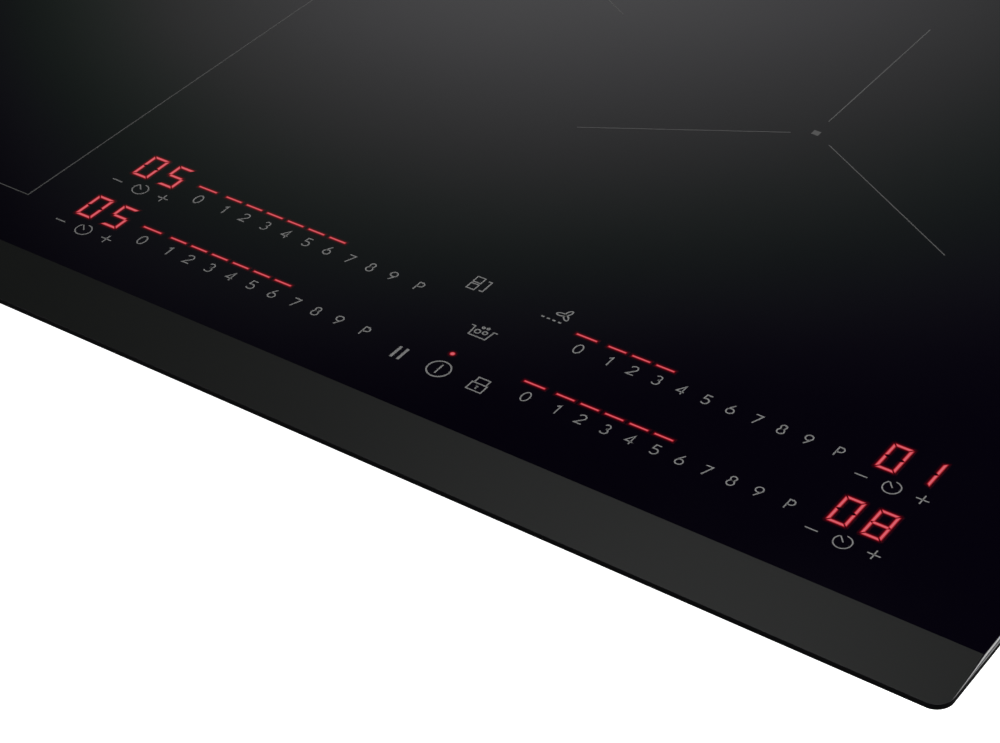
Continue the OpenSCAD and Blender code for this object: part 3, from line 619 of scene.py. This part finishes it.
def icons(ink):
    """Key signs down the middle: pause, power, lock, simmer pot, joined zones and automatic fan."""
    bm = bmesh.new()
    pause = [([(x, -0.34), (x, 0.34)], False) for x in (-0.15, 0.15)]
    add_symbol(bm, on_panel(-1.69, -0.36), pause, 0.11)
    power = [(arc(0, 0, 0.445, 0, 350, 35), True), ([(0, -0.27), (0, 0.27)], False)]
    add_symbol(bm, on_panel(0.03, -0.357), power, 0.06)
    lock = [(rectangle_corners(0, -0.12, 0.62, 0.42), True),
            ([(-0.24, 0.1), (-0.24, 0.4), (0.24, 0.4), (0.24, 0.1)], False),
            (arc(0, -0.08, 0.025, 0, 300, 5), True),
            ([(0, -0.1), (0, -0.22)], False)]
    add_symbol(bm, on_panel(1.745, -0.378), lock, 0.055)
    pot = [([(-0.56, 0.22), (-0.4, 0.22), (-0.36, -0.3), (0.36, -0.3), (0.4, 0.22), (0.56, 0.22)], False)]
    pot += [(arc(x, y, r, 0, 330, 11), True) for x, y, r in
            ((-0.15, -0.02, 0.11), (0.14, 0.03, 0.09), (-0.08, 0.27, 0.05), (0.1, 0.3, 0.05))]
    add_symbol(bm, on_panel(0.04, 2.19), pot)
    bridge = [(rectangle_corners(-0.14, y, 0.34, 0.34), True) for y in (0.22, -0.22)]
    bridge += [([(0.2, 0.32), (0.36, 0.32), (0.36, -0.32), (0.2, -0.32)], False)]
    add_symbol(bm, on_panel(-1.73, 4.54), bridge)
    add_symbol(bm, on_panel(1.98, 4.66), fan_blades(), 0.055)
    pips = [([(x, 0), (x + 0.13, 0)], False) for x in (-0.46, -0.22, 0.02, 0.26)]
    add_symbol(bm, on_panel(1.72, 4.18), pips, 0.07)
    return piece(mesh_object("print_icons", bm, [ink]))


# ---------------------------------------------------------------- lights under the glass

# The displays, bars and dot, in key pitches
DIGIT_W = 0.745
DIGIT_H = 1.41
DIGIT_STEP = 1.27
DIGITS_LEFT = -1.03  # from the display's middle to its first digit
SEGMENT = 0.105
SEGMENT_GAP = 0.042
BAR_PLACE = (-0.118, 0.7145)  # from a level sign to the middle of its bar
BAR_HALF = 0.365
FIRST_BAR_HALF = 0.425
BAR_HALF_DEPTH = 0.034
DOT_PLACE = (-0.08, 0.609)
DOT_RADIUS = 0.085
LIT = {"0": "abcdef", "1": "bc", "5": "acdfg", "8": "abcdefg"}


def segment_shapes(grow=0.0):
    """Outlines of the seven segments in key pitches, mitred where they meet, from the lower left."""
    w, h, t, g = DIGIT_W, DIGIT_H, SEGMENT, SEGMENT_GAP
    m = h / 2
    o = -grow
    shapes = {
        "a": [(g + o, h - o), (w - g - o, h - o), (w - t - g, h - t + o), (t + g, h - t + o)],
        "d": [(g + o, o), (t + g, t - o), (w - t - g, t - o), (w - g - o, o)],
        "g": [(g + 0.04 + o, m), (t + o, m - t / 2 + o), (w - t - o, m - t / 2 + o),
              (w - g - 0.04 - o, m), (w - t - o, m + t / 2 - o), (t + o, m + t / 2 - o)],
    }
    for upper, lower, x, inner in (("f", "e", o, t - o), ("b", "c", w - o, w - t + o)):
        shapes[upper] = [(x, m + g / 2 + o), (x, h - g - o),
                         (inner, h - t - g - o), (inner, m + t / 2 + g / 2)]
        shapes[lower] = [(x, m - g / 2 - o), (inner, m - t / 2 - g / 2),
                         (inner, t + g + o), (x, g + o)]
    return shapes


def anticlockwise(points):
    """The same outline, turned so that its face points up."""
    area = sum(a[0] * b[1] - b[0] * a[1] for a, b in zip(points, points[1:] + points[:1]))
    return points if area > 0 else points[::-1]


# Layers of each light: the end of its name, how far it spreads in key pitches, its top in millimetres
HALOS = (("", -0.012, 0.03), ("_edge", 0.01, 0.02), ("_glow", 0.035, 0.014), ("_haze", 0.1, 0.008))


def display(name, text, x, y, materials):
    """Two lit digits under the glass, with the dark red light that spreads round them."""
    for (part, grow, high), material in zip(HALOS, materials):
        bm = bmesh.new()
        shapes = segment_shapes(grow)
        for place, sign in enumerate(text):
            left = x + (place * DIGIT_STEP + DIGITS_LEFT) * PITCH
            for layer, segment in enumerate(LIT[sign]):
                points = [(left + px * PITCH, y + py * PITCH) for px, py in shapes[segment]]
                top = high + (0.0004 * layer if part else 0)
                add_prism(bm, anticlockwise(points), GLASS_TOP, GLASS_TOP + top * MM)
        piece(mesh_object(name + part, bm, [material]))


def level_bars(name, x0, y0, lit, materials):
    """The lit bars of one slider."""
    for (part, grow, high), material in zip(HALOS, materials):
        bm = bmesh.new()
        for k in range(lit):
            half = (BAR_HALF if k else FIRST_BAR_HALF) + grow
            cx, cy = x0 + (key_offset(k) + BAR_PLACE[0]) * PITCH, y0 + BAR_PLACE[1] * PITCH
            corners = rectangle_corners(cx, cy, 2 * half * PITCH, 2 * (BAR_HALF_DEPTH + grow) * PITCH)
            add_prism(bm, corners, GLASS_TOP, GLASS_TOP + high * MM)
        piece(mesh_object(name + part, bm, [material]))


def standby_light(materials):
    """The round light beside the power key."""
    for (part, grow, high), material in zip(HALOS, materials):
        bm = bmesh.new()
        circle = arc(*on_panel(*DOT_PLACE), (DOT_RADIUS + grow) * PITCH, 0, 345, 23)
        add_prism(bm, circle, GLASS_TOP, GLASS_TOP + high * MM)
        piece(mesh_object("standby_light" + part, bm, [material]))


def lights():
    """Every lit display, bar and dot."""
    materials = (glow("red_light", (0.68, 0.115, 0.14), 1.0), glow("red_edge", (0.5, 0.02, 0.03), 1.0),
                 glow("red_glow", (0.16, 0.002, 0.005), 1.0), glow("red_haze", (0.022, 0.0, 0.0004), 1.0))
    texts = {("left", 0): "05", ("left", 1): "05", ("right", 0): "08", ("right", 1): "01"}
    bars = {("left", 0): 7, ("left", 1): 7, ("right", 0): 6, ("right", 1): 4}
    for column, side in enumerate(("left", "right")):
        for row, depth in enumerate(("front", "rear")):
            key = (side, row)
            display(f"display_{side}_{depth}", texts[key], TIMERS[column], ROWS[row], materials)
            level_bars(f"level_bars_{side}_{depth}", SLIDERS[column], ROWS[row], bars[key], materials)
    standby_light(materials)


# ---------------------------------------------------------------- parts under the glass

def islands(node):
    """The low and high corners of each separate solid of a CAD node."""
    data = frame["nodes"][node].data
    bm = bmesh.new()
    bm.from_mesh(data)
    bmesh.ops.remove_doubles(bm, verts=bm.verts[:], dist=0.001 * MM)
    seen, boxes = set(), []
    for start in bm.verts:
        if start in seen:
            continue
        seen.add(start)
        stack, low, high = [start], start.co.copy(), start.co.copy()
        while stack:
            vert = stack.pop()
            low = Vector(map(min, low, vert.co))
            high = Vector(map(max, high, vert.co))
            for edge in vert.link_edges:
                other = edge.other_vert(vert)
                if other not in seen:
                    seen.add(other)
                    stack.append(other)
        boxes.append((low, high))
    bm.free()
    return boxes


def add_tube(bm, path, radius, sides=8, closed=False):
    """A round wire along a path, with a turning frame that doesn't flip."""
    count = len(path)
    rings, side = [], None
    for i, here in enumerate(path):
        ahead = path[(i + 1) % count] if i < count - 1 or closed else here
        behind = path[i - 1] if i or closed else here
        along = (ahead - behind).normalized()
        side = along.orthogonal() if side is None else side - along * side.dot(along)
        side.normalize()
        other = along.cross(side)
        rings.append([bm.verts.new(here + radius * (math.cos(t) * side + math.sin(t) * other))
                      for t in [math.tau * k / sides for k in range(sides)]])
    join_rings(bm, rings, closed, clockwise=True)


def spring_path(middle, radius, foot, top, turns=4.5, steps=20):
    """The middle line of a wound spring, with three quarters of a flat turn at each end."""
    flat = 0.75
    path = []
    for i in range(int(turns * steps) + 1):
        wound = i / steps
        rise = min(max((wound - flat) / (turns - 2 * flat), 0), 1)
        turn = math.tau * wound
        path.append(Vector((middle.x + radius * math.cos(turn), middle.y + radius * math.sin(turn),
                            foot + (top - foot) * rise)))
    return path


def coil_springs(made):
    """Wound springs between the posts and the shields."""
    wire_r = 0.5 * MM
    for coil in ("left_front", "left_rear", "centre_rear", "right"):
        node = f"coil_{coil}_springs"
        for index, (low, high) in enumerate(islands(node)):
            middle = (low + high) / 2
            radius = (high.x - low.x) / 2 - wire_r
            bm = bmesh.new()
            add_tube(bm, spring_path(middle, radius, low.z + wire_r, high.z - wire_r), wire_r)
            spring = mesh_object(f"spring_{coil}_{index}", bm, [made["spring_steel"]], smooth=True)
            piece(spring, replaces=[node])
            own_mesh(spring)


RING_SHARE = 0.74  # a ring core's middle radius, as a share of the choke's outer radius


def ring_core(middle, ring, reach, rise, steps=48):
    """A ring with chamfered edges; reach and rise are its half sizes across and up."""
    chamfer = 0.8
    section = ((1, -chamfer), (1, chamfer), (chamfer, 1), (-chamfer, 1),
               (-1, chamfer), (-1, -chamfer), (-chamfer, -1), (chamfer, -1))
    bm = bmesh.new()
    rings = []
    for t in [math.tau * k / steps for k in range(steps)]:
        rings.append([bm.verts.new((middle.x + (ring + reach * c) * math.cos(t),
                                    middle.y + (ring + reach * c) * math.sin(t),
                                    middle.z + rise * h)) for c, h in section])
    join_rings(bm, rings, closed=True)
    return bm


def ring_winding(middle, ring, reach, rise, turns, steps=16):
    """The middle line of a wire wound round a ring, which leaves a gap of 40 degrees."""
    squareness = 0.6
    path = []
    for i in range(turns * steps + 1):
        t = math.radians(20) + math.radians(320) * i / (turns * steps)
        w = math.tau * i / steps
        c, h = [math.copysign(abs(v) ** squareness, v) for v in (math.cos(w), math.sin(w))]
        path.append(Vector((middle.x + (ring + reach * c) * math.cos(t),
                            middle.y + (ring + reach * c) * math.sin(t),
                            middle.z + rise * h)))
    return path


def wound_chokes(made):
    """Ring cores with copper wire wound round them."""
    wire_r = 0.9 * MM
    turns_per_mm = 1.5
    for index, (low, high) in enumerate(islands("chokes")):
        middle = (low + high) / 2
        outer, half = (high.x - low.x) / 2, (high.z - low.z) / 2
        ring, thick = RING_SHARE * outer, (1 - RING_SHARE) * outer
        bm = ring_core(middle, ring, thick - 2 * wire_r, half - 2 * wire_r)
        piece(mesh_object(f"choke_core_{index}", bm, [made["ferrite"]]), replaces=["chokes"])
        turns = int(outer / MM * turns_per_mm)
        bm = bmesh.new()
        add_tube(bm, ring_winding(middle, ring, thick - wire_r, half - wire_r, turns), wire_r, 6)
        piece(mesh_object(f"choke_winding_{index}", bm, [made["choke_copper"]], smooth=True))


LARGEST_ROUNDING = 40 * MM * MM  # a block's smaller faces belong to its rounded edges


def rounded_boxes(node, name, slot, made, radius):
    """Replaces the plain blocks of a node by blocks with rounded edges."""
    bm = bmesh.new()
    for low, high in islands(node):
        size = high - low
        place = Matrix.Translation((low + high) / 2) @ Matrix.Diagonal((*size, 1))
        bmesh.ops.create_cube(bm, size=1.0, matrix=place)
    bmesh.ops.bevel(bm, geom=bm.edges[:], offset=radius, segments=3, profile=0.5, affect="EDGES")
    obj = mesh_object(name, bm, [made[slot]])
    for polygon in obj.data.polygons:
        polygon.use_smooth = polygon.area < LARGEST_ROUNDING
    piece(obj, replaces=[node])


LEAF_THICK = 0.5 * MM
# Side view of a leaf as shares of its reach and height: a rolled root, then a slope, a crown and a return
LEAF_LINE = ((0.45, 0.06), (0.3, 0.14), (0.1, 0.13), (0.05, 0.07), (0.12, 0.03), (0.25, 0.045), (0.36, 0.1),
             (0.88, 0.66), (0.93, 0.71), (0.94, 0.76), (0.9, 0.81), (0.42, 0.975))


def mounting_clips(made):
    """Bent leaf springs: a rolled root, a straight slope, a round crown and a short return."""
    for side in ("left", "right"):
        for depth in ("front", "rear"):
            node = f"clip_{side}_{depth}"
            low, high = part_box(node)
            root, reach = (low.x, high.x - low.x) if side == "right" else (high.x, low.x - high.x)
            path = [(root + x * reach, low.z + z * (high.z - low.z)) for x, z in LEAF_LINE]
            bm = bmesh.new()
            rows = []
            for a, b in zip(*offset_sides(path, LEAF_THICK, False)):
                corners = ((a, low.y), (a, high.y), (b, high.y), (b, low.y))
                rows.append([bm.verts.new((p.x, y, p.y)) for p, y in corners])
            join_rings(bm, rows, clockwise=True)
            bmesh.ops.recalc_face_normals(bm, faces=bm.faces[:])
            piece(mesh_object(f"leaf_{side}_{depth}", bm, [made["leaf_steel"]]), node, [node])


def revolve(bm, profile, centre, steps):
    """A solid of revolution about the vertical through centre; the profile starts and ends on it."""
    ends = [bm.verts.new((centre.x, centre.y, profile[i][1])) for i in (0, -1)]
    rings = [[bm.verts.new((centre.x + r * math.cos(t), centre.y + r * math.sin(t), z))
              for t in [math.tau * k / steps for k in range(steps)]] for r, z in profile[1:-1]]
    for k in range(steps):
        m = (k + 1) % steps
        bm.faces.new((ends[0], rings[0][m], rings[0][k]))
        bm.faces.new((ends[1], rings[-1][k], rings[-1][m]))
        for a, b in zip(rings, rings[1:]):
            bm.faces.new((a[k], a[m], b[m], b[k]))


BLADE_THICK = 1.0 * MM
BLADE_REACH = 10 * MM  # length of a blade's curve at the hub
BLADE_GROWTH = 3 * MM  # how much longer the curve is at the tip
BLADE_CURL = 0.25  # how much faster the curve runs at its top
BLADE_SWEEP = 0.25  # how far the tip is turned from the hub, in radians


def blade_sheet(bm, centre, start, radii, heights, side):
    """One face of a blade as rows of vertices from the hub to the tip, side of its middle."""
    rows, columns = 8, 6
    sheet = []
    for i in range(rows + 1):
        share = i / rows
        radius = radii[0] + (radii[1] - radii[0]) * share
        length = BLADE_REACH + BLADE_GROWTH * share
        row = []
        for part in [j / columns for j in range(columns + 1)]:
            along = length * (part - 0.5) * (1 + BLADE_CURL * part) + side * BLADE_THICK
            turn = start + along / radius + BLADE_SWEEP * share
            row.append(bm.verts.new((centre.x + radius * math.cos(turn), centre.y + radius * math.sin(turn),
                                     heights[0] + (heights[1] - heights[0]) * part)))
        sheet.append(row)
    return sheet


def add_blade(bm, centre, start, radii, heights):
    """One curved blade between two radii and two heights, closed all round."""
    a, b = [blade_sheet(bm, centre, start, radii, heights, side) for side in (-0.5, 0.5)]
    rows, columns = len(a) - 1, len(a[0]) - 1
    for i in range(rows):
        for j in range(columns):
            bm.faces.new((a[i][j], a[i + 1][j], a[i + 1][j + 1], a[i][j + 1]))
            bm.faces.new((b[i][j], b[i][j + 1], b[i + 1][j + 1], b[i + 1][j]))
    for i in range(rows):
        bm.faces.new((a[i][0], b[i][0], b[i + 1][0], a[i + 1][0]))
        bm.faces.new((a[i][-1], a[i + 1][-1], b[i + 1][-1], b[i][-1]))
    for j in range(columns):
        bm.faces.new((a[0][j], a[0][j + 1], b[0][j + 1], b[0][j]))
        bm.faces.new((a[-1][j], b[-1][j], b[-1][j + 1], a[-1][j + 1]))


HUB_RADIUS = 15 * MM
HUB_WALL = 1.6 * MM
SHAFT_RADIUS = 1.5 * MM


def hub_profile(foot, top):
    """The rotor's hub cup with its shaft, from the shaft's foot on the axis to the cup's middle."""
    shaft_foot = foot - 1.4 * MM
    inner = HUB_RADIUS - HUB_WALL
    roof = top - HUB_WALL
    return [(0, shaft_foot), (SHAFT_RADIUS, shaft_foot), (SHAFT_RADIUS, roof), (inner, roof), (inner, foot),
            (HUB_RADIUS, foot), (HUB_RADIUS, top - 1.2 * MM), (HUB_RADIUS - 0.4 * MM, top - 0.35 * MM),
            (HUB_RADIUS - 1.2 * MM, top), (0, top)]


def fan_rotors(made):
    """Hub cups with curved blades."""
    blades = 9
    for depth in ("front", "rear"):
        node = f"fan_{depth}_rotor"
        low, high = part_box(node)
        centre = (low + high) / 2
        foot, top = low.z + 1.9 * MM, high.z - 0.2 * MM
        tip_r = min(high.x - low.x, high.y - low.y) / 2 - 0.2 * MM
        bm = bmesh.new()
        revolve(bm, hub_profile(foot, top), centre, 48)
        for index in range(blades):
            add_blade(bm, centre, math.tau * index / blades, (HUB_RADIUS - 0.5 * MM, tip_r),
                      (foot + 0.5 * MM, top - 0.8 * MM))
        piece(mesh_object(f"rotor_{depth}", bm, [made["fan_rotor_plastic"]]),
              f"fan_{depth}", [node])


# ---------------------------------------------------------------- camera, light and floor

CAMERA_AZIMUTH = math.radians(36.4533)
CAMERA_ELEVATION = math.radians(37.392)
CAMERA_ROLL = math.radians(-2.0988)
CAMERA_PLACE = (47.25, -60.69, 58.32)  # in key pitches from the middle of the front row of keys


def camera():
    """The camera: over the front right corner, looking back and to the left across the glass."""
    data = bpy.data.cameras.new("camera")
    data.sensor_width = 36
    data.lens = 99.186
    obj = bpy.data.objects.new("camera", data)
    forward = Vector((-math.sin(CAMERA_AZIMUTH) * math.cos(CAMERA_ELEVATION),
                      math.cos(CAMERA_AZIMUTH) * math.cos(CAMERA_ELEVATION), -math.sin(CAMERA_ELEVATION)))
    level = forward.cross(Vector((0, 0, 1))).normalized()
    upright = level.cross(forward)
    right = math.cos(CAMERA_ROLL) * level + math.sin(CAMERA_ROLL) * upright
    up = -math.sin(CAMERA_ROLL) * level + math.cos(CAMERA_ROLL) * upright
    turn = Matrix((right, up, -forward)).transposed().to_4x4()
    place = Vector((PANEL_X, FRONT_ROW, GLASS_TOP)) + Vector(CAMERA_PLACE) * PITCH
    obj.matrix_world = Matrix.Translation(place) @ turn
    bpy.context.scene.collection.objects.link(obj)
    bpy.context.scene.camera = obj


def math_node(tree, operation, *values):
    """The output of a Math node, each input a number or another node's output."""
    node = tree.nodes.new("ShaderNodeMath")
    node.operation = operation
    for socket, value in zip(node.inputs, values):
        if isinstance(value, (int, float)):
            socket.default_value = value
        else:
            tree.links.new(value, socket)
    return node.outputs["Value"]


def fade(tree, value, start, full, top=1.0, ease="SMOOTHSTEP"):
    """Rises from 0 where the value is start to top where it is full."""
    node = tree.nodes.new("ShaderNodeMapRange")
    node.interpolation_type = ease
    for key, number in (("From Min", start), ("From Max", full), ("To Min", 0.0), ("To Max", top)):
        node.inputs[key].default_value = number
    tree.links.new(value, node.inputs["Value"])
    return node.outputs["Result"]


# The studio's light. Heights are the z of a direction, angles are in degrees left of the camera's view, and
# each pair says where a light starts and where it is full.
WALL_HEIGHTS = (0.618, 0.497)
WALL_FALLOFF = 1.7
WALL_LEFT = (14.6, -1.6)
WALL_RIGHT = (-22.7, -2.1)
WALL_LIGHT = 0.7
WALL_TINTS = ((0.05, (0.9, 1, 1)), (0.1, (0.7, 1, 0.72)), (0.19, (0.82, 1, 0.82)), (0.28, (0.97, 1, 0.93)))
WALL_WHITE = 0.5  # strength of the wall's light from which it is white
HORIZON_MIDDLE = 20
HORIZON_SIDES = (40, 80)
HORIZON_HEIGHTS = (0.6, 0.2)
HORIZON_LIGHT = 0.35
CEILING_HEIGHTS = (0.78, 0.95)
CEILING_LIGHT = 0.6


def direction(tree):
    """The height of a direction and its angle to the left of the camera's view, without a seam in front."""
    place = tree.nodes.new("ShaderNodeTexCoord")
    turn = tree.nodes.new("ShaderNodeVectorRotate")
    turn.rotation_type = "Z_AXIS"
    turn.inputs["Angle"].default_value = -math.radians(90) - CAMERA_AZIMUTH
    tree.links.new(place.outputs["Generated"], turn.inputs["Vector"])
    split = tree.nodes.new("ShaderNodeSeparateXYZ")
    tree.links.new(turn.outputs["Vector"], split.inputs["Vector"])
    return split.outputs["Z"], math_node(tree, "ARCTAN2", split.outputs["Y"], split.outputs["X"])


def wall_tint(tree, wall):
    """The wall's colour by its strength: faintly green where it is dim, white where it is bright."""
    tint = tree.nodes.new("ShaderNodeValToRGB")
    elements = tint.color_ramp.elements
    elements[1].position = WALL_WHITE
    elements[0].color = elements[1].color = (1, 1, 1, 1)
    for position, colour in WALL_TINTS:
        elements.new(position).color = (*colour, 1)
    tree.links.new(wall, tint.inputs["Fac"])
    return tint.outputs["Color"]


def white_to_camera(tree, light):
    """Shows the camera a white backdrop, while the light given falls on everything."""
    white = tree.nodes.new("ShaderNodeBackground")
    white.inputs["Color"].default_value = (1, 1, 1, 1)
    path = tree.nodes.new("ShaderNodeLightPath")
    mix = tree.nodes.new("ShaderNodeMixShader")
    tree.links.new(path.outputs["Is Camera Ray"], mix.inputs["Fac"])
    tree.links.new(light, mix.inputs[1])
    tree.links.new(white.outputs["Background"], mix.inputs[2])
    tree.links.new(mix.outputs["Shader"], tree.nodes["World Output"].inputs["Surface"])


def studio():
    """The studio round the cooktop, by direction: a low bright wall behind the glass that fades
    upwards and to both sides, a pale horizon elsewhere, a soft ceiling light, and a white backdrop
    that only the camera sees."""
    world = bpy.data.worlds.new("studio")
    bpy.context.scene.world = world
    world.use_nodes = True
    tree = world.node_tree
    height, aside = direction(tree)
    wall = math_node(tree, "POWER", fade(tree, height, *WALL_HEIGHTS, 1.0, "LINEAR"), WALL_FALLOFF)
    left = fade(tree, aside, *map(math.radians, WALL_LEFT), WALL_LIGHT)
    right = fade(tree, aside, *map(math.radians, WALL_RIGHT))
    wall = math_node(tree, "MULTIPLY", wall, math_node(tree, "MULTIPLY", left, right))
    spread = math_node(tree, "ABSOLUTE", math_node(tree, "SUBTRACT", aside, math.radians(HORIZON_MIDDLE)))
    horizon = math_node(tree, "MULTIPLY", fade(tree, spread, *map(math.radians, HORIZON_SIDES)),
                        fade(tree, height, *HORIZON_HEIGHTS, HORIZON_LIGHT))
    ceiling = fade(tree, height, *CEILING_HEIGHTS, CEILING_LIGHT)
    background = tree.nodes["Background"]
    tree.links.new(wall_tint(tree, wall), background.inputs["Color"])
    total = math_node(tree, "ADD", wall, math_node(tree, "ADD", horizon, ceiling))
    tree.links.new(total, background.inputs["Strength"])
    white_to_camera(tree, background.outputs["Background"])


# Name, place, target, size in metres and power in watts of each soft light
SOFT_LIGHTS = (("rim_light", (1.2, 0.9, 0.85), (GLASS_HIGH.x, -0.2, GLASS_TOP), 0.9, 25),
               ("band_light", (-0.25, 0.46, 1.27), (0.2, -0.25, 0.04), 0.5, 1.65),
               ("fill_light", (1.3, -1.2, 1.3), (0, -0.2, 0), 1.0, 6))


def area_light(name, place, target, size, power):
    """A square soft light that faces a point."""
    data = bpy.data.lights.new(name, "AREA")
    data.shape = "SQUARE"
    data.size = size
    data.energy = power
    obj = bpy.data.objects.new(name, data)
    obj.visible_camera = False
    obj.location = place
    obj.rotation_mode = "QUATERNION"
    obj.rotation_quaternion = (Vector(target) - Vector(place)).to_track_quat("-Z", "Y")
    bpy.context.scene.collection.objects.link(obj)


def floor():
    """A plain white floor, lit from within so that it stays even."""
    reach, gap = 30.0, 0.5 * MM
    bm = bmesh.new()
    corners = rectangle_corners(0, 0, 2 * reach, 2 * reach)
    bm.faces.new([bm.verts.new((x, y, cad_low.z - gap)) for x, y in corners])
    white = new_material("floor", (0.8, 0.8, 0.8), 0.9, Emission_Strength=0.95)
    white.node_tree.nodes["Principled BSDF"].inputs["Emission Color"].default_value = (1, 1, 1, 1)
    mesh_object("floor", bm, [white])


bpy.context.scene.view_settings.view_transform = "Standard"
camera()
made = finish_nodes()
glass_plate()
ink = grey_print("grey_print", 0.225)
level_numbers(ink)
timer_keys(ink)
icons(ink)
lights()
coil_springs(made)
wound_chokes(made)
rounded_boxes("resonant_capacitors", "capacitors", "capacitor_case", made, 1.2 * MM)
rounded_boxes("power_transistors", "transistors", "black_epoxy", made, 0.4 * MM)
mounting_clips(made)
fan_rotors(made)
studio()
for soft_light in SOFT_LIGHTS:
    area_light(*soft_light)
floor()
